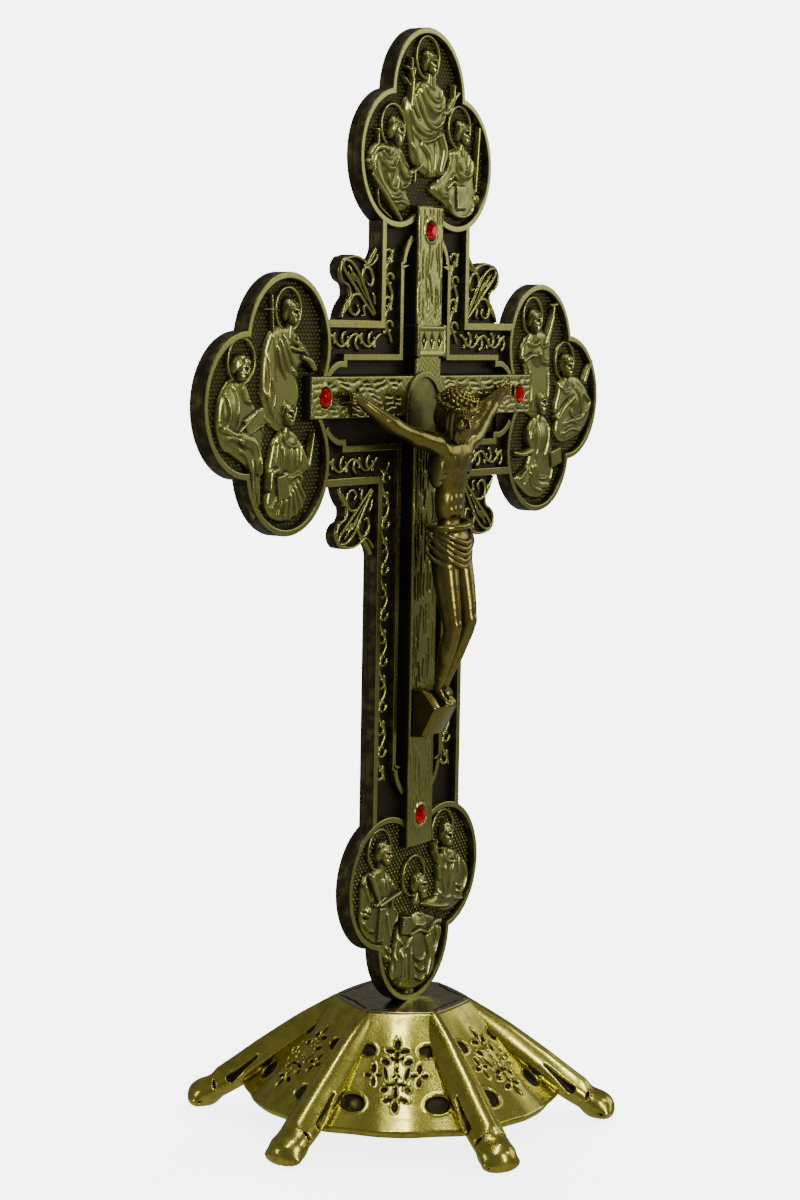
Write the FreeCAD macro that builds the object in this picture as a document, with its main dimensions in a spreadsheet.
import FreeCAD, Part

# Table altar cross: a cast cross plate with four trefoil ends stands on a six-legged base and
# carries a wood-grained beam cross, a title plaque, a halo, four stones and the nailed corpus.
# Millimetres, +Z up, the front faces -Y. The origin is on the floor, under the base's centre.
import math
import os

import Sketcher
from FreeCAD import Placement, Rotation, Vector

FRONTWARD = Rotation(Vector(1, 0, 0), 90)
BACKWARD = Rotation(Vector(1, 0, 0), -90)
DOWNWARD = Rotation(Vector(1, 0, 0), 180)
UPWARD = Rotation()
SEAM_AT_BACK = Rotation(Vector(0, 0, 1), 90)
THROUGH = 5.0

doc = FreeCAD.newDocument("AltarCross")
sheet = doc.addObject("Spreadsheet::Sheet", "Sizes")


# ---------------------------------------------------------------- sizes

class Size:
    """A number together with the spreadsheet expression that it comes from."""

    def __init__(self, number, text):
        self.number = number
        self.text = text

    def __add__(self, other):
        other = size(other)
        return Size(self.number + other.number, f"({self.text} + {other.text})")

    def __sub__(self, other):
        other = size(other)
        return Size(self.number - other.number, f"({self.text} - {other.text})")

    def __mul__(self, other):
        other = size(other)
        return Size(self.number * other.number, f"({self.text} * {other.text})")

    def __truediv__(self, other):
        other = size(other)
        return Size(self.number / other.number, f"({self.text} / {other.text})")

    def __rsub__(self, other):
        return size(other) - self

    def __neg__(self):
        return size(0) - self

    __radd__ = __add__
    __rmul__ = __mul__


def size(value):
    """The value as a Size, whether it is one already or a plain number."""
    if isinstance(value, Size):
        return value
    return Size(float(value), f"({float(value):.6f})")


def cell(alias, number):
    """A driving dimension: a new row of the sheet, with its alias."""
    cell.row += 1
    sheet.set(f"A{cell.row}", alias)
    sheet.set(f"B{cell.row}", str(number))
    sheet.setAlias(f"B{cell.row}", alias)
    return Size(float(number), f"Sizes.{alias}")


cell.row = 0

total_height = cell("total_height", 220)
crossing_height = cell("crossing_height", 146.43)
plate_back = cell("plate_back", 0.75)
plate_thickness = cell("plate_thickness", 3.5)
field_depth = cell("field_depth", 1.5)
channel_depth = cell("channel_depth", 2.1)
lobe_radius = cell("lobe_radius", 13.54)
lobe_side = cell("lobe_side", 10.9)
lobe_step = cell("lobe_step", 12.57)
arm_span = cell("arm_span", 146.1)
stem_half = cell("stem_half", 16.4)
arm_half = cell("arm_half", 15.88)
lobe_rim = cell("lobe_rim", 1.3)
stem_rim = cell("stem_rim", 1.6)
frame_bar = cell("frame_bar", 1.4)
channel_half = cell("channel_half", 8.3)
upper_frame_end = cell("upper_frame_end", 30.5)
lower_frame_end = cell("lower_frame_end", 77.0)
arm_frame_end = cell("arm_frame_end", 31.0)
boss_radius = cell("boss_radius", 2.3)
boss_height = cell("boss_height", 8.5)

beam_proud = cell("beam_proud", 0.85)
beam_width = cell("beam_width", 9.4)
beam_arm_width = cell("beam_arm_width", 8.3)
beam_arm_rise = cell("beam_arm_rise", 1.17)
beam_span = cell("beam_span", 82.3)
beam_top = cell("beam_top", 185.1)
beam_bottom = cell("beam_bottom", 56.2)
play = cell("play", 0.05)

stone_radius = cell("stone_radius", 1.9)
stone_girdle = cell("stone_girdle", 0.45)
stone_crown = cell("stone_crown", 0.8)
stone_reach = cell("stone_reach", 36.45)
stone_top = cell("stone_top", 180.2)
stone_bottom = cell("stone_bottom", 62.4)

plaque_width = cell("plaque_width", 11.0)
plaque_height = cell("plaque_height", 6.2)
plaque_bottom = cell("plaque_bottom", 155.3)
plaque_proud = cell("plaque_proud", 0.75)

halo_radius = cell("halo_radius", 6.45)
halo_band = cell("halo_band", 1.25)
halo_sheet = cell("halo_sheet", 0.15)
halo_relief = cell("halo_relief", 0.3)
halo_offset = cell("halo_offset", -2.1)
halo_height = cell("halo_height", 145.85)
halo_tail = cell("halo_tail", 140.0)

nail_radius = cell("nail_radius", 0.55)
nail_head = cell("nail_head", 1.2)
nail_reach = cell("nail_reach", 27.8)

rest_width = cell("rest_width", 8.4)
rest_bottom = cell("rest_bottom", 78.8)
rest_top = cell("rest_top", 88.8)

base_top = cell("base_top", 24.1)
seat_depth = cell("seat_depth", 0.35)
top_corner = cell("top_corner", 14.1)
top_middle = cell("top_middle", 12.8)
skirt_corner = cell("skirt_corner", 33.0)
skirt_middle = cell("skirt_middle", 32.3)
skirt_bottom = cell("skirt_bottom", 5.2)
wall = cell("wall", 1.6)
top_wall = cell("top_wall", 2.6)
foot_reach = cell("foot_reach", 40.9)
foot_half_length = cell("foot_half_length", 3.3)
foot_half_width = cell("foot_half_width", 3.8)
foot_half_height = cell("foot_half_height", 2.9)
foot_flat = cell("foot_flat", 0.5)

screw_radius = cell("screw_radius", 1.25)
washer_radius = cell("washer_radius", 3.0)
washer_thickness = cell("washer_thickness", 0.5)
small_screw_radius = cell("small_screw_radius", 0.85)

rim_plane = plate_back - plate_thickness
field_plane = rim_plane + field_depth
channel_plane = rim_plane + channel_depth
beam_plane = rim_plane - beam_proud
arm_axis = crossing_height + beam_arm_rise
lobe_bottom = base_top - seat_depth
upper_reach = total_height - lobe_radius - crossing_height
lower_reach = crossing_height - lobe_bottom - lobe_radius
side_reach = arm_span / 2 - lobe_radius
doc.recompute()


# ---------------------------------------------------------------- helpers

def tie(item, **properties):
    """Bind properties of a document object to sizes."""
    for name, value in properties.items():
        item.setExpression(name, size(value).text)
    return item


def move(item, x=0, y=0, z=0):
    """Bind an object's place to sizes, leaving its rotation alone."""
    for axis, value in zip("xyz", (x, y, z)):
        item.setExpression(f"Placement.Base.{axis}", size(value).text)
    return item


def box(name, xs, ys, zs):
    """Box between the given limits along X, Y and Z."""
    lows = [size(pair[0]) for pair in (xs, ys, zs)]
    spans = [size(pair[1]) - size(pair[0]) for pair in (xs, ys, zs)]
    item = doc.addObject("Part::Box", name)
    tie(item, Length=spans[0], Width=spans[1], Height=spans[2])
    return move(item, *lows)


def disc(name, x, z, back, front, radius):
    """Cylinder along Y between the planes y = back and y = front, which is nearer the viewer."""
    item = doc.addObject("Part::Cylinder", name)
    item.Placement = Placement(Vector(), FRONTWARD)
    tie(item, Radius=radius, Height=size(back) - front)
    return move(item, x, back, z)


def ball(name, place, radii, lean=Rotation()):
    """Ellipsoid at a place, with its half sizes along X, Y and Z and its seam at the back."""
    item = doc.addObject("Part::Ellipsoid", name)
    item.Placement = Placement(Vector(), lean * SEAM_AT_BACK)
    item.Angle1 = -90
    item.Angle2 = 90
    tie(item, Radius1=radii[2], Radius2=radii[1], Radius3=radii[0])
    return move(item, *place)


def tube(name, points, radii):
    """Smooth limb lofted through circles, each square to the path through their centres."""
    points = [Vector(*point) for point in points]
    down = points[-1].z < points[0].z
    sections = []
    for index, (point, radius) in enumerate(zip(points, radii)):
        run = points[min(index + 1, len(points) - 1)] - points[max(index - 1, 0)]
        section = doc.addObject("Part::Circle", f"{name}_section_{index}")
        section.Placement = Placement(point, Rotation(Vector(0, 0, 1), -run if down else run))
        sections.append(tie(section, Radius=radius))
    item = doc.addObject("Part::Loft", name)
    item.Sections = sections
    item.Solid = True
    return item


def fuse(name, pieces):
    """One solid out of several."""
    item = doc.addObject("Part::MultiFuse", name)
    item.Shapes = pieces
    return item


def cut(name, base, tool):
    """The base without the tool."""
    item = doc.addObject("Part::Cut", name)
    item.Base = base
    item.Tool = tool
    return item


def common(name, base, tool):
    """What the base and the tool share."""
    item = doc.addObject("Part::Common", name)
    item.Base = base
    item.Tool = tool
    return item


def origin_plane(body, role):
    """A body's own origin plane."""
    for feature in body.Origin.OriginFeatures:
        if feature.Role == role:
            return feature
    raise ValueError(role)


def sketch_on(body, name, role, height=0):
    """Sketch on a body's origin plane, raised along the plane's normal."""
    sketch = body.newObject("Sketcher::SketchObject", name)
    sketch.AttachmentSupport = [(origin_plane(body, role), "")]
    sketch.MapMode = "FlatFace"
    sketch.setExpression("AttachmentOffset.Base.z", size(height).text)
    return sketch


def pin_point(sketch, geometry, end, point):
    """Fix one end of a sketch line at its distances from the sketch's origin."""
    for kind, value in zip(("DistanceX", "DistanceY"), point):
        number = sketch.addConstraint(Sketcher.Constraint(kind, -1, 1, geometry, end, value.number))
        sketch.setExpression(f"Constraints[{number}]", value.text)


def outline(sketch, points):
    """Closed polygon in a sketch, each corner tied to its sizes."""
    corners = [(size(across), size(along)) for across, along in points]
    vectors = [Vector(across.number, along.number, 0) for across, along in corners]
    first = sketch.GeometryCount
    for index, start in enumerate(vectors):
        sketch.addGeometry(Part.LineSegment(start, vectors[(index + 1) % len(vectors)]))
    for index, corner in enumerate(corners):
        previous = first + (index - 1) % len(corners)
        sketch.addConstraint(Sketcher.Constraint("Coincident", previous, 2, first + index, 1))
        pin_point(sketch, first + index, 1, corner)
    return sketch


def rounds(sketch, centres, radius):
    """Circles in a sketch, with tied centres and radius."""
    radius = size(radius)
    for across, along in centres:
        across = size(across)
        along = size(along)
        circle = Part.Circle(Vector(across.number, along.number, 0), Vector(0, 0, 1), radius.number)
        index = sketch.addGeometry(circle)
        pin_point(sketch, index, 3, (across, along))
        number = sketch.addConstraint(Sketcher.Constraint("Radius", index, radius.number))
        sketch.setExpression(f"Constraints[{number}]", radius.text)
    return sketch


def pad(body, name, sketch, length):
    """Pad along the sketch's normal."""
    feature = body.newObject("PartDesign::Pad", name)
    feature.Profile = sketch
    return tie(feature, Length=length)


def pocket(body, name, sketch, length):
    """Pocket against the sketch's normal."""
    feature = body.newObject("PartDesign::Pocket", name)
    feature.Profile = sketch
    return tie(feature, Length=length)


def turn(body, name, sketch):
    """Full turn of a profile about the sketch's vertical axis."""
    feature = body.newObject("PartDesign::Revolution", name)
    feature.Profile = sketch
    feature.ReferenceAxis = (sketch, ["V_Axis"])
    feature.Angle = 360
    return feature


def new_body(name):
    """Body with the sub-part's own name."""
    body = doc.addObject("PartDesign::Body", "Body_" + name)
    body.Label = name
    return body


def turned_part(name, profile, rotation, place):
    """Turned part: its profile is (radius, height), its foot stands at a place."""
    body = new_body(name)
    turn(body, name + "_turn", outline(sketch_on(body, name + "_profile", "XZ_Plane"), profile))
    body.Placement = Placement(Vector(), rotation)
    return move(body, *place)


# ---------------------------------------------------------------- cross plate

ENDS = {
    "top": (0, 1, upper_reach),
    "bottom": (0, -1, lower_reach),
    "left": (-1, 0, side_reach),
    "right": (1, 0, side_reach),
}


def lobe_centres(end):
    """The three circle centres of a trefoil end, as (x, z)."""
    across, up, reach = ENDS[end]
    side_distance = reach - lobe_step
    centres = [(reach * across, crossing_height + reach * up)]
    for sign in (-1, 1):
        x = side_distance * across + lobe_side * (sign * up)
        z = crossing_height + side_distance * up + lobe_side * (sign * across)
        centres.append((x, z))
    return centres


def trefoils(name, back, front, radius):
    """The twelve lobes of the four ends, as cylinders along Y."""
    return [disc(f"{name}_{end}_{index}", x, z, back, front, radius)
            for end in ENDS
            for index, (x, z) in enumerate(lobe_centres(end))]


def cross_boxes(name, ys, stem, arm, low, high, reach):
    """A stem box and an arm box that cross at the crossing."""
    upright = box(name + "_stem", (-stem, stem), ys, (low, high))
    level = box(name + "_arm", (-reach, reach), ys, (crossing_height - arm, crossing_height + arm))
    return [upright, level]


# Leafy corner bracket between stem and arm, as (x, height above the crossing): each entry is a
# corner, or a pair of an arc's middle and its end.
BRACKET = (
    (15.0, 15.0), (15.0, 31.0), (16.3, 30.2), ((17.3, 28.2), (20.2, 26.7)), ((23.6, 28.3), (27.2, 28.1)),
    ((29.9, 26.2), (27.6, 23.0)), ((26.3, 21.6), (26.5, 20.2)), ((28.2, 18.6), (29.4, 16.6)), (31.0, 15.0),
)


def bracket(name):
    """Upper right corner bracket, between the plate's back and its rim plane."""
    edges = []
    here = Vector(BRACKET[0][0], 0, BRACKET[0][1])
    for entry in BRACKET[1:] + BRACKET[:1]:
        if isinstance(entry[0], tuple):
            middle, there = [Vector(x, 0, z) for x, z in entry]
            edges.append(Part.Arc(here, middle, there).toShape())
        else:
            there = Vector(entry[0], 0, entry[1])
            edges.append(Part.LineSegment(here, there).toShape())
        here = there
    item = doc.addObject("Part::Feature", name + "_outline")
    item.Shape = Part.Face(Part.Wire(edges))
    move(item, 0, plate_back, crossing_height)
    block = doc.addObject("Part::Extrusion", name)
    block.Base = item
    block.DirMode = "Custom"
    block.Dir = Vector(0, -1, 0)
    return tie(block, LengthFwd=plate_thickness)


def mirrored(name, source, normal, height=0):
    """Mirror image of an object in a plane through the given height."""
    item = doc.addObject("Part::Mirroring", name)
    item.Source = source
    item.Normal = normal
    item.setExpression("Base.z", size(height).text)
    return item


def brackets():
    """The four corner brackets."""
    upper_right = bracket("bracket_upper_right")
    upper_left = mirrored("bracket_upper_left", upper_right, Vector(1, 0, 0))
    lower_right = mirrored("bracket_lower_right", upper_right, Vector(0, 0, 1), crossing_height)
    lower_left = mirrored("bracket_lower_left", upper_left, Vector(0, 0, 1), crossing_height)
    return [upper_right, upper_left, lower_right, lower_left]


def frame_bars():
    """Raised inner frame: two bars per quarter, between the vine bands and the central channel."""
    bars = []
    depth = (rim_plane, field_plane + play)
    for side, name in ((-1, "left"), (1, "right")):
        inner = channel_half * side
        outer = (channel_half + frame_bar) * side
        xs = (inner, outer) if side > 0 else (outer, inner)
        arm_xs = (inner, arm_frame_end * side) if side > 0 else (arm_frame_end * side, inner)
        for up, reach in ((1, upper_frame_end), (-1, lower_frame_end)):
            near = crossing_height + channel_half * up
            bar = crossing_height + (channel_half + frame_bar) * up
            far = crossing_height + reach * up
            upright = (near, far) if up > 0 else (far, near)
            level = (near, bar) if up > 0 else (bar, near)
            bars.append(box(f"bar_upright_{name}_{up + 1}", xs, depth, upright))
            bars.append(box(f"bar_level_{name}_{up + 1}", arm_xs, depth, level))
    return bars


# Three relief figures per end: (place across the end, place outward from the crossing, halo radius).
# Across runs to the right on the upright ends, and upward on the side ends.
FIGURES = {
    "top": ((-12.0, 53.6, 4.4), (12.7, 55.1, 4.4), (0.3, 67.8, 4.6)),
    "bottom": ((-12.5, -89.4, 4.4), (11.5, -88.9, 4.4), (0.5, -96.9, 4.4)),
    "left": ((-46.5, 17.6, 4.4), (-61.0, 8.1, 4.4), (-47.5, -0.4, 4.4)),
    "right": ((44.5, 17.6, 4.4), (59.0, 8.1, 4.4), (47.0, 0.6, 4.4)),
}
HALO_RING = 0.7
HEAD = (1.9, 1.5, 2.4)
SHOULDERS = (4.6, 1.7, 5.4)
LAP = (4.2, 1.8, 6.0)


def relief_figures():
    """Half-length figures in low relief: a halo ring, a head, shoulders and a lap each."""
    pieces = []
    ground = field_plane + play
    for end, figures in FIGURES.items():
        for index, (x, rise, radius) in enumerate(figures):
            name = f"figure_{end}_{index}"
            z = crossing_height + rise
            ring = disc(name + "_ring", x, z, ground, field_plane - 0.6, radius)
            hole = disc(name + "_hole", x, z, ground + 1, field_plane - 1, radius - HALO_RING)
            pieces.append(cut(name + "_halo", ring, hole))
            pieces.append(ball(name + "_head", (x, ground, z - 0.3), HEAD))
            pieces.append(ball(name + "_shoulders", (x, ground, z - 7.0), SHOULDERS))
            pieces.append(ball(name + "_lap", (x + 0.6, ground, z - 13.5), LAP))
    return pieces


def cross_plate():
    """The large casting: rims, sunk fields, inner frame, figures, beam pocket and screw holes."""
    solid = (plate_back, rim_plane)
    ys = (rim_plane, plate_back)
    low = crossing_height - lower_reach + lobe_step - lobe_radius / 2
    high = crossing_height + upper_reach - lobe_step + lobe_radius / 2
    reach = side_reach - lobe_step + lobe_radius / 2
    blank = fuse("plate_blank", cross_boxes("blank", ys, stem_half, arm_half, low, high, reach)
                 + trefoils("blank", *solid, lobe_radius) + brackets())

    sunk = (rim_plane - 1, field_plane)
    band = fuse("band_space", cross_boxes("band", sunk, stem_half - stem_rim, arm_half - stem_rim,
                                          low, high, reach))
    ends = fuse("end_blocks", trefoils("end", field_plane + 1, rim_plane - 2, lobe_radius))
    medallions = trefoils("medallion", field_plane, rim_plane - 1, lobe_radius - lobe_rim)
    fields = fuse("fields", [cut("band_fields", band, ends)] + medallions)
    sunk_plate = cut("sunk_plate", blank, fields)

    keep = fuse("keep_blank", trefoils("keep", plate_back, rim_plane - 2, lobe_radius - lobe_rim))
    reliefs = common("reliefs", fuse("figures", relief_figures()), keep)
    boss = doc.addObject("Part::Cylinder", "screw_boss")
    tie(boss, Radius=boss_radius, Height=boss_height)
    move(boss, 0, 0, base_top)
    behind = box("behind_field", (-boss_radius, boss_radius), (field_plane, boss_radius),
                 (base_top, base_top + boss_height))
    raised = fuse("raised_plate", [sunk_plate, common("back_boss", boss, behind), reliefs] + frame_bars())

    channel = (rim_plane - 3, channel_plane)
    spaces = cross_boxes("channel", channel, channel_half, channel_half,
                         crossing_height - lower_frame_end, crossing_height + upper_frame_end,
                         arm_frame_end)
    spaces.append(box("pocket_stem", (-beam_width / 2 - play, beam_width / 2 + play), channel,
                      (beam_bottom - play, beam_top + play)))
    spaces.append(box("pocket_arm", (-beam_span / 2 - play, beam_span / 2 + play), channel,
                      (arm_axis - beam_arm_width / 2 - play, arm_axis + beam_arm_width / 2 + play)))
    tapped = doc.addObject("Part::Cylinder", "base_screw_hole")
    tie(tapped, Radius=screw_radius + play, Height=BASE_SCREW_GRIP + 0.5)
    move(tapped, 0, 0, lobe_bottom)
    spaces.append(tapped)
    for name, (x, z) in BACK_SCREWS.items():
        spaces.append(disc("plate_hole_" + name, x, z, plate_back + 1, rim_plane - 1,
                           small_screw_radius + play))
    finished = cut("plate_finished", raised, fuse("plate_spaces", spaces))
    finished.Label = "cross_plate"
    return finished


# ---------------------------------------------------------------- beam cross and what it carries

STONES = {
    "top": (0, stone_top),
    "bottom": (0, stone_bottom),
    "left": (-stone_reach, arm_axis),
    "right": (stone_reach, arm_axis),
}
NAILS = {"left": (-nail_reach, arm_axis), "right": (nail_reach, arm_axis + 0.9)}
BACK_SCREWS = {
    "top": (0, size(171)),
    "bottom": (0, size(69)),
    "left": (size(-18), arm_axis),
    "right": (size(18), arm_axis),
    "rest": (0, size(84)),
}
BASE_SCREW_GRIP = 5.5
SCREW_BITE = 1.9
NAIL_BITE = 1.8


def beam_cross():
    """Thin cross with wood grain on its face; its back lies on the plate's channel floor."""
    body = new_body("beam_cross")
    half = beam_width / 2
    reach = beam_span / 2
    low = arm_axis - beam_arm_width / 2
    high = arm_axis + beam_arm_width / 2
    corners = ((-half, beam_bottom), (half, beam_bottom), (half, low), (reach, low), (reach, high),
               (half, high), (half, beam_top), (-half, beam_top), (-half, high), (-reach, high),
               (-reach, low), (-half, low))
    sketch = outline(sketch_on(body, "beam_outline", "XZ_Plane", -channel_plane), corners)
    pad(body, "beam_pad", sketch, channel_plane - beam_plane)
    seats = rounds(sketch_on(body, "stone_seats", "XZ_Plane", -beam_plane), STONES.values(),
                   stone_radius + play)
    pocket(body, "stone_pockets", seats, stone_girdle)
    nails = rounds(sketch_on(body, "nail_marks", "XZ_Plane", -beam_plane), NAILS.values(),
                   nail_radius + play)
    pocket(body, "nail_holes", nails, NAIL_BITE + 0.1)
    marks = [BACK_SCREWS[name] for name in ("top", "bottom", "left", "right")]
    screws = rounds(sketch_on(body, "screw_marks", "XZ_Plane", SCREW_BITE + 0.2 - channel_plane), marks,
                    small_screw_radius + play)
    pocket(body, "screw_holes", screws, SCREW_BITE + 0.2)
    through = rounds(sketch_on(body, "rest_mark", "XZ_Plane", -beam_plane), [BACK_SCREWS["rest"]],
                     small_screw_radius + play)
    body.Tip = pocket(body, "rest_hole", through, THROUGH)


def title_plaque():
    """Cap that straddles the upper beam, with three plain lozenges in place of letters."""
    body = new_body("title_plaque")
    half = plaque_width / 2
    inner = beam_width / 2 + play
    front = beam_plane - plaque_proud
    bevel = 0.5
    corners = ((-half, channel_plane), (-half, front + bevel), (bevel - half, front),
               (half - bevel, front), (half, front + bevel), (half, channel_plane),
               (inner, channel_plane), (inner, beam_plane), (-inner, beam_plane),
               (-inner, channel_plane))
    pad(body, "plaque_pad", outline(sketch_on(body, "plaque_section", "XY_Plane", plaque_bottom), corners),
        plaque_height)
    marks = sketch_on(body, "plaque_marks", "XZ_Plane", -front)
    middle = plaque_bottom + plaque_height / 2
    for across in (-2.9, 0, 2.9):
        outline(marks, ((across, middle - 1.5), (across + 0.8, middle), (across, middle + 1.5),
                        (across - 0.8, middle)))
    body.Tip = pocket(body, "plaque_lozenges", marks, 0.25)


def halo():
    """Thin arched plate with a raised band, lying on the beam behind the head."""
    front = beam_plane - halo_sheet
    face = front - halo_relief
    low = arm_axis - beam_arm_width / 2
    arch = (halo_offset - halo_radius, halo_offset + halo_radius)
    inner = halo_radius - halo_band
    blank = fuse("halo_blank", [
        disc("halo_disc", halo_offset, halo_height, beam_plane, face, halo_radius),
        box("halo_sides", arch, (face, beam_plane), (low, halo_height))])
    floor = box("halo_floor", (arch[0] - 1, arch[1] + 1), (face - 1, beam_plane + 1),
                (low - halo_radius, low))
    sunk = fuse("halo_sunk", [
        disc("halo_sunk_disc", halo_offset, halo_height, front, face - 1, inner),
        box("halo_sunk_sides", (halo_offset - inner, halo_offset + inner), (face - 1, front),
            (low - 1, halo_height))])
    arched = cut("halo_arch", cut("halo_blank_cut", blank, floor), sunk)
    tail = box("halo_tail", (-beam_width / 2, beam_width / 2), (front, beam_plane), (halo_tail, low + 1))
    fuse("halo_whole", [arched, tail]).Label = "halo"


def stones():
    """Round red stones with a flat back, a short girdle and a tapered crown."""
    table = stone_radius * 0.55
    crown = stone_girdle + stone_crown
    profile = ((0, 0), (stone_radius, 0), (stone_radius, stone_girdle + 0.05), (table, crown), (0, crown))
    for name, (x, z) in STONES.items():
        turned_part("gem_" + name, profile, FRONTWARD, (x, beam_plane + stone_girdle, z))


def footrest():
    """Sloping block under the feet."""
    body = new_body("footrest_block")
    side = ((beam_plane, rest_bottom), (beam_plane, rest_top), (-6.4, rest_top), (-9.4, rest_top - 3.6),
            (-6.4, rest_bottom + 0.4))
    sketch = outline(sketch_on(body, "rest_side", "YZ_Plane", -rest_width / 2), side)
    pad(body, "rest_pad", sketch, rest_width)
    hole = rounds(sketch_on(body, "rest_screw_mark", "XZ_Plane", 2.0 - beam_plane), [BACK_SCREWS["rest"]],
                  small_screw_radius + play)
    body.Tip = pocket(body, "rest_screw_hole", hole, 2.0)
    nail = foot_nail_space("rest_nail_hole", nail_radius + play, -FOOT_NAIL_LENGTH - 0.1, 1)
    cut("footrest_drilled", body, nail).Label = "footrest"


# ---------------------------------------------------------------- corpus

SHOULDER = {-1: (-4.5, -9.1, 137.4), 1: (4.5, -9.0, 137.8)}
ARM_BENDS = {
    -1: ((-8.0, -9.4, 138.6), (-14.0, -9.0, 140.2), (-20.0, -7.8, 142.3), (-25.0, -5.8, 145.6)),
    1: ((8.0, -9.3, 139.2), (13.0, -8.3, 142.2), (18.5, -7.1, 145.2), (24.0, -5.6, 147.4)),
}
HAND_PLANE = -4.42
HAND_DEPTH = 0.8
HIP = {-1: (-3.0, -9.3, 117.0), 1: (3.0, -9.3, 117.0)}
KNEE = {-1: (-2.6, -12.0, 103.4), 1: (2.7, -12.0, 104.4)}
ANKLE = {-1: (-1.1, -8.4, 91.2), 1: (1.1, -8.6, 91.0)}
HEEL = {-1: (-0.9, -7.75, 88.95), 1: (0.9, -7.75, 88.95)}
CALF = {-1: (-1.9, -9.9, 97.6), 1: (1.9, -10.1, 97.8)}
FEET = (0, -8.57, 87.72)
FEET_LEAN = Rotation(Vector(1, 0, 0), -39.8)


def corpus():
    """Hanging figure in a loincloth, with holes for the three nails."""
    pieces = [
        ball("corpus_chest", (0, -8.9, 134.6), (6.9, 2.9, 6.2)),
        ball("corpus_belly", (0, -8.6, 126.5), (4.9, 2.5, 7.0)),
        ball("corpus_cloth", (0, -9.6, 117.6), (6.0, 3.6, 5.0)),
        ball("corpus_head", (-1.0, -10.4, 144.7), (3.1, 3.4, 4.3)),
        ball("corpus_beard", (-0.9, -11.6, 141.2), (1.6, 1.6, 2.2)),
        ball("corpus_feet", FEET, (2.0, 0.95, 2.5), FEET_LEAN),
        tube("corpus_neck", ((0, -8.8, 137.0), (-0.4, -9.2, 140.0), (-0.8, -9.9, 143.4)), (2.0, 1.8, 1.7)),
    ]
    for side, name in ((-1, "left"), (1, "right")):
        x, z = NAILS[name]
        hand = (x.number, HAND_PLANE, z.number)
        arm = (SHOULDER[side],) + ARM_BENDS[side] + (hand,)
        pieces.append(tube("corpus_arm_" + name, arm, (2.0, 2.2, 1.75, 1.4, 1.1, 0.7)))
        leg_points = (HIP[side], KNEE[side], CALF[side], ANKLE[side], HEEL[side])
        pieces.append(tube("corpus_leg_" + name, leg_points, (2.8, 1.85, 1.75, 1.1, 1.0)))
        pieces.append(ball(f"corpus_hand_{name}", hand, (1.7, HAND_DEPTH, 1.5)))
    solid = fuse("corpus_solid", pieces)
    for name, (x, z) in NAILS.items():
        hole = disc("corpus_hole_" + name, x, z, beam_plane + 1, HAND_PLANE - 3, nail_radius + play)
        seat = disc("corpus_seat_" + name, x, z, HAND_PLANE - HAND_DEPTH, HAND_PLANE - 3, nail_head + play)
        solid = cut("corpus_" + name, cut("corpus_drilled_" + name, solid, hole), seat)
    shank = foot_nail_space("corpus_foot_hole", nail_radius + play, -FOOT_NAIL_LENGTH, 1)
    head = foot_nail_space("corpus_foot_seat", nail_head + play, 0, 3)
    cut("corpus_whole", cut("corpus_foot_drilled", solid, shank), head).Label = "corpus"


# The foot nail stands square on the footrest's slope, in the middle of the feet.
FOOT_NAIL = (0.0, -9.5, 88.3)
FOOT_NAIL_TILT = Rotation(Vector(1, 0, 0), 50.2)
FOOT_NAIL_LENGTH = 3.8


def foot_nail_space(name, radius, low, high):
    """Cylinder along the foot nail's axis; the underside of its head is at zero."""
    item = doc.addObject("Part::Cylinder", name)
    tie(item, Radius=radius, Height=high - low)
    start = Vector(*FOOT_NAIL) + FOOT_NAIL_TILT.multVec(Vector(0, 0, low))
    item.Placement = Placement(start, FOOT_NAIL_TILT)
    return item


# ---------------------------------------------------------------- nails, screws and washer

def headed_pin(name, head, head_height, shank, shank_length, rotation, place, slot=0.0):
    """Round-headed pin: its head starts at the place, its shank runs back from there."""
    head = size(head)
    shank = size(shank)
    tip = shank * 0.4
    length = size(shank_length)
    dome = head * 0.7
    profile = ((0, -length), (shank - tip, -length), (shank, tip - length), (shank, 0), (head, 0),
               (head, head_height * 0.45), (dome, head_height), (0, head_height))
    body = turned_part(name, profile, rotation, place)
    if slot:
        arm = head * 0.6
        half = slot / 2
        cross = ((-half, -arm), (half, -arm), (half, -half), (arm, -half), (arm, half), (half, half),
                 (half, arm), (-half, arm), (-half, half), (-arm, half), (-arm, -half), (-half, -half))
        drive = outline(sketch_on(body, name + "_drive", "XY_Plane", head_height), cross)
        body.Tip = pocket(body, name + "_recess", drive, head_height * 0.5)
    return body


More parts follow.
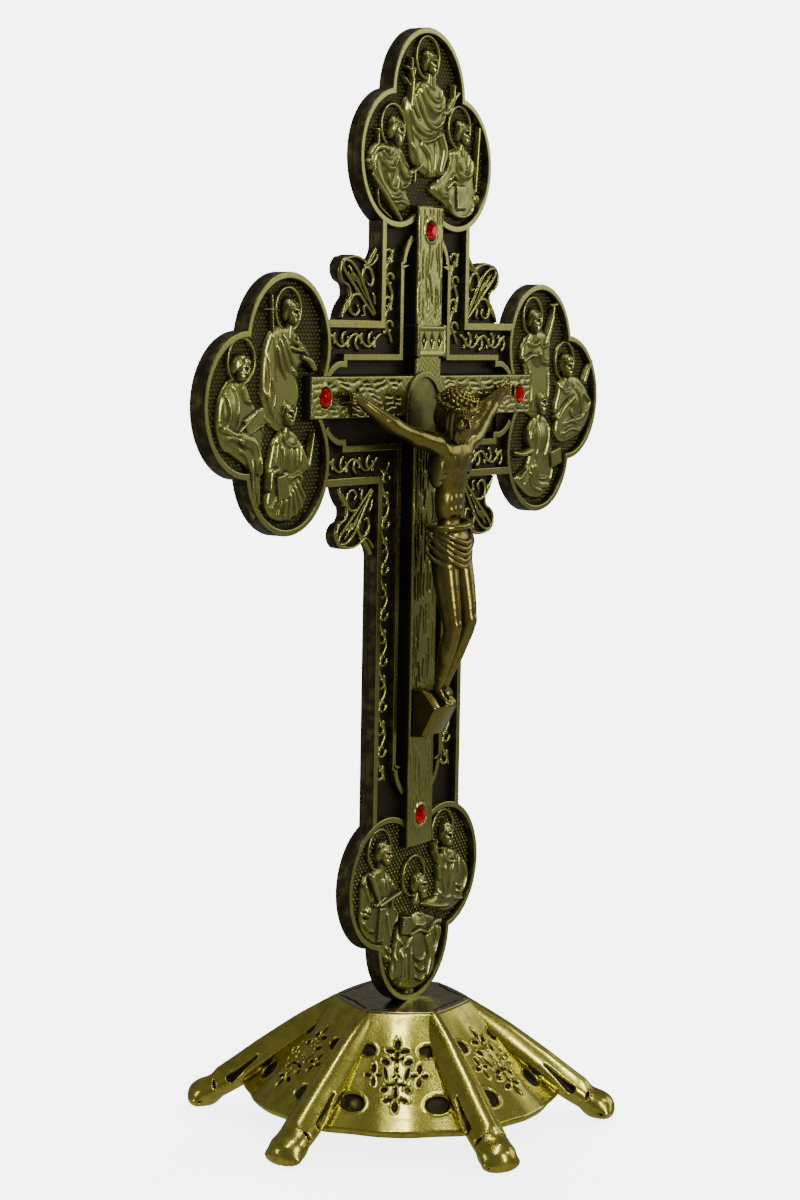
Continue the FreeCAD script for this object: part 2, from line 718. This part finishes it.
def fasteners():
    """Hand and foot nails, the screws behind the plate and the screw and washer under the base."""
    hand_front = HAND_PLANE - HAND_DEPTH
    for name, (x, z) in NAILS.items():
        length = beam_plane + NAIL_BITE - hand_front
        headed_pin("hand_nail_" + name, nail_head, 0.6, nail_radius, length, FRONTWARD, (x, hand_front, z))
    headed_pin("foot_nail", nail_head, 0.6, nail_radius, FOOT_NAIL_LENGTH, FOOT_NAIL_TILT, FOOT_NAIL)
    head = small_screw_radius * 1.9
    for name, (x, z) in BACK_SCREWS.items():
        bite = SCREW_BITE
        title = "beam_screw_" + name
        length = plate_back - channel_plane + bite
        if name == "rest":
            title = "footrest_screw"
            length = plate_back - beam_plane + bite
        headed_pin(title, head, 1.0, small_screw_radius, length, BACKWARD, (x, plate_back, z), slot=0.5)
    under = base_top - top_wall
    headed_pin("base_screw", screw_radius * 1.9, 1.8, screw_radius,
               lobe_bottom + BASE_SCREW_GRIP - under + washer_thickness, DOWNWARD,
               (0, 0, under - washer_thickness), slot=0.8)
    hole = screw_radius + 0.15
    turned_part("base_washer", ((hole, 0), (washer_radius, 0), (washer_radius, washer_thickness),
                                (hole, washer_thickness)), UPWARD, (0, 0, under - washer_thickness))


# ---------------------------------------------------------------- base

CORNER_ANGLES = [math.radians(60 * index) for index in range(6)]


def panel_ring(name, corner, middle, height):
    """Closed wire of six arcs: corners on the legs, middles half-way between them."""
    ring = []
    for angle in CORNER_ANGLES:
        for turn_by, radius in ((0, corner), (math.radians(30), middle)):
            ring.append(Vector(radius * math.cos(angle + turn_by), radius * math.sin(angle + turn_by), 0))
    edges = [Part.Arc(ring[index], ring[index + 1], ring[(index + 2) % 12]).toShape()
             for index in range(0, 12, 2)]
    item = doc.addObject("Part::Feature", name)
    item.Shape = Part.Wire(edges)
    return move(item, 0, 0, height)


def skirt(name, shrink, low, high):
    """Six bulging panels between two rings, each drawn in by a shrink."""
    slope = (skirt_corner - top_corner) / (base_top - skirt_bottom)
    grow_low = slope.number * (skirt_bottom.number - size(low).number)
    grow_high = slope.number * (base_top.number - size(high).number)
    bottom = panel_ring(name + "_bottom", skirt_corner.number - shrink + grow_low,
                        skirt_middle.number - shrink + grow_low, low)
    top = panel_ring(name + "_top", top_corner.number - shrink + grow_high,
                     top_middle.number - shrink + grow_high, high)
    item = doc.addObject("Part::Loft", name)
    item.Sections = [bottom, top]
    item.Solid = True
    item.Ruled = True
    return item


# Leg axis as (distance from the centre, height, radius), from the top plate to the ankle.
LEG = ((12.2, 22.5, 1.7), (20.0, 16.95, 2.5), (28.0, 10.7, 3.0), (35.0, 5.6, 3.1), (39.8, 3.1, 2.3))
# Recesses of a panel as (height above the skirt's edge, half spacing, radius).
RECESSES = ((12.9, 6.1, 1.45), (4.5, 8.7, 2.1))
RECESS_DEPTH = 0.6


def leg(index):
    """One leg: a tapering ridge down the skirt's corner and a rounded foot."""
    name = f"leg_{index}"
    angle = CORNER_ANGLES[index]
    out = Vector(math.cos(angle), math.sin(angle), 0)
    points = [out * distance + Vector(0, 0, height) for distance, height, radius in LEG]
    ridge = tube(name + "_ridge", points, [radius for distance, height, radius in LEG])
    place = (foot_reach * out.x, foot_reach * out.y, foot_half_height - foot_flat)
    foot = ball(name + "_foot", place, (foot_half_length, foot_half_width, foot_half_height),
                Rotation(Vector(0, 0, 1), 60 * index))
    return [ridge, foot]


def panel_recesses():
    """Blind round recesses, four on each panel, square to its slope."""
    drop = (base_top - skirt_bottom).number
    run = (skirt_middle - top_middle).number
    slope = math.degrees(math.atan2(drop, run))
    tools = []
    for panel in range(6):
        face = Rotation(Vector(0, 0, 1), 60 * panel + 30)
        lean = face * Rotation(Vector(0, 1, 0), slope)
        for row, (rise, across, radius) in enumerate(RECESSES):
            distance = skirt_middle.number - rise * run / drop
            bulge = across * across / (2.2 * distance)
            for side in (-1, 1):
                place = face.multVec(Vector(distance - bulge, side * across, skirt_bottom.number + rise))
                item = doc.addObject("Part::Cylinder", f"recess_{panel}_{row}_{side + 1}")
                tie(item, Radius=radius, Height=3)
                item.Placement = Placement(place - lean.multVec(Vector(0, 0, RECESS_DEPTH)), lean)
                tools.append(item)
    return tools


def base():
    """Hollow six-legged casting with a flat top, a seat for the cross and a screw hole."""
    shell = skirt("skirt_outside", 0, skirt_bottom, base_top)
    legs = [piece for index in range(6) for piece in leg(index)]
    whole = fuse("base_whole", [shell] + legs)
    hollow = skirt("skirt_inside", wall.number * 1.45, 0, base_top - top_wall)
    reach = foot_reach + foot_half_length + 2
    floor = box("floor_cut", (-reach, reach), (-reach, reach), (-10, 0))
    emptied = cut("base_emptied", cut("base_floored", whole, floor), hollow)
    hole = doc.addObject("Part::Cylinder", "base_hole")
    tie(hole, Radius=screw_radius + 0.15, Height=2 * THROUGH)
    drilled = cut("base_drilled", emptied, move(hole, 0, 0, base_top - THROUGH))
    lobe = disc("seat_lobe", 0, lobe_bottom + lobe_radius, plate_back, rim_plane, lobe_radius)
    seated = cut("base_seated", drilled, lobe)
    cut("base_finished", seated, fuse("base_recesses", panel_recesses())).Label = "base"


# ---------------------------------------------------------------- build, check and write

def main():
    cross_plate()
    beam_cross()
    title_plaque()
    halo()
    stones()
    footrest()
    corpus()
    fasteners()
    base()
    doc.recompute()
    for item in doc.Objects:
        if "Invalid" in item.State or "Error" in item.State:
            raise RuntimeError(f"{item.Name} failed: {item.State}")
    os.makedirs("parts", exist_ok=True)
    for label in NODES:
        shape = doc.getObjectsByLabel(label)[0].Shape
        if shape.isNull() or not shape.isValid():
            raise RuntimeError(f"{label} has no valid shape")
        shape.exportStep(f"parts/{label}.step")
        print(f"{label:20s} solids {len(shape.Solids)} volume {shape.Volume:10.2f}")


NODES = (
    ["cross_plate", "beam_cross", "title_plaque", "halo", "corpus", "footrest", "foot_nail", "base",
     "base_screw", "base_washer", "footrest_screw"]
    + ["gem_" + name for name in STONES]
    + ["hand_nail_" + name for name in NAILS]
    + ["beam_screw_" + name for name in BACK_SCREWS if name != "rest"]
)

main()
